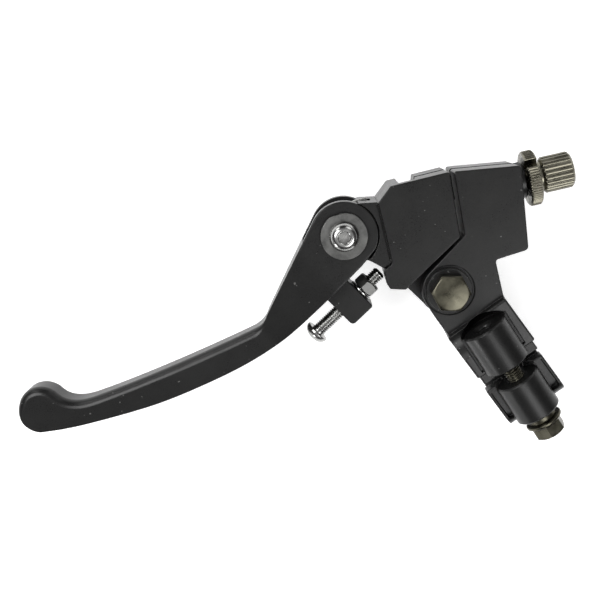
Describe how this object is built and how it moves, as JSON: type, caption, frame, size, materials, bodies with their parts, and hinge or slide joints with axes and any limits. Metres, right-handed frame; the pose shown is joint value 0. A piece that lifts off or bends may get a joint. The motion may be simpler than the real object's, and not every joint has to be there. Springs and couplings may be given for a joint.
{
  "type": "clutch lever",
  "caption": "Folding clutch lever with reach screw, pivoting in a handlebar perch that carries a split bar clamp and a slotted cable adjuster.",
  "frame": {"origin": "centre of the handlebar bore, midway along the clamp", "axes": "+X along the handlebar towards the cable adjuster, +Y from the handlebar towards the lever, +Z along the pivot bolt towards its head"},
  "size_m": [0.2169, 0.123, 0.0494],
  "materials": {
    "perch": "satin black powder coat on cast aluminium",
    "clamp_cap": "satin black powder coat on cast aluminium",
    "lever_holder": "satin black anodised aluminium",
    "blade": "satin black powder coat on forged aluminium",
    "clamp_hardware": "olive gunmetal plated steel",
    "pivot_hardware": "olive gunmetal plated steel",
    "pivot_washer": "black oxide washer",
    "adjuster": "fluted gunmetal nickel plate",
    "zinc_screw": "bright zinc plated steel",
    "washer_steel": "plain grey steel",
    "bush": "sintered bronze",
    "spring": "drawn spring steel"
  },
  "bodies": {
    "perch": {"perch_body": "perch", "clamp_cap": "clamp_cap", "clamp_bolt_front": "clamp_hardware", "clamp_bolt_rear": "clamp_hardware", "clamp_washer_front": "clamp_hardware", "clamp_washer_rear": "clamp_hardware", "pivot_bolt": "pivot_hardware", "pivot_washer": "pivot_washer", "pivot_nut": "pivot_hardware", "pivot_nut_washer": "pivot_hardware"},
    "lever_holder": {"knuckle": "lever_holder", "pivot_bush": "bush", "fold_spring": "spring"},
    "blade_arm": {"blade": "blade", "fold_screw": "zinc_screw", "fold_washer": "washer_steel", "fold_nut": "zinc_screw", "fold_nut_washer": "washer_steel", "fold_sleeve": "washer_steel", "reach_washer": "zinc_screw"},
    "reach_screw_body": {"reach_screw": "zinc_screw"},
    "lock_nut_body": {"reach_lock_nut": "zinc_screw"},
    "adjuster_body": {"cable_adjuster": "adjuster"},
    "lock_ring_body": {"adjuster_lock_ring": "adjuster"}
  },
  "joints": [
    {"name": "lever_pivot", "type": "hinge", "parent": "perch", "child": "lever_holder", "pos_m": [-0.0015, 0.0356, 0], "axis": [0, 0, 1], "range_deg": [-2, 23]},
    {"name": "blade_fold", "type": "hinge", "parent": "lever_holder", "child": "blade_arm", "pos_m": [-0.0196, 0.0727, 0], "axis": [0, 0, -1], "range_deg": [0, 90], "stiffness_Nm_per_rad": 0.15, "springref_deg": -28.65, "deforming": ["fold_spring"]},
    {"name": "reach_screw", "type": "slide", "parent": "blade_arm", "child": "reach_screw_body", "axis": [-0.991, -0.134, 0], "range_m": [0, 0.004]},
    {"name": "reach_lock_nut", "type": "hinge", "parent": "blade_arm", "child": "lock_nut_body", "pos_m": [-0.02469, 0.05226, 0], "axis": [-0.991, -0.134, 0], "continuous": true},
    {"name": "cable_adjuster", "type": "slide", "parent": "perch", "child": "adjuster_body", "axis": [0.9157, -0.4019, 0], "range_m": [0, 0.008]},
    {"name": "adjuster_lock_ring", "type": "hinge", "parent": "adjuster_body", "child": "lock_ring_body", "pos_m": [0.04437, 0.04861, 0], "axis": [0.9157, -0.4019, 0], "continuous": true}
  ]
}
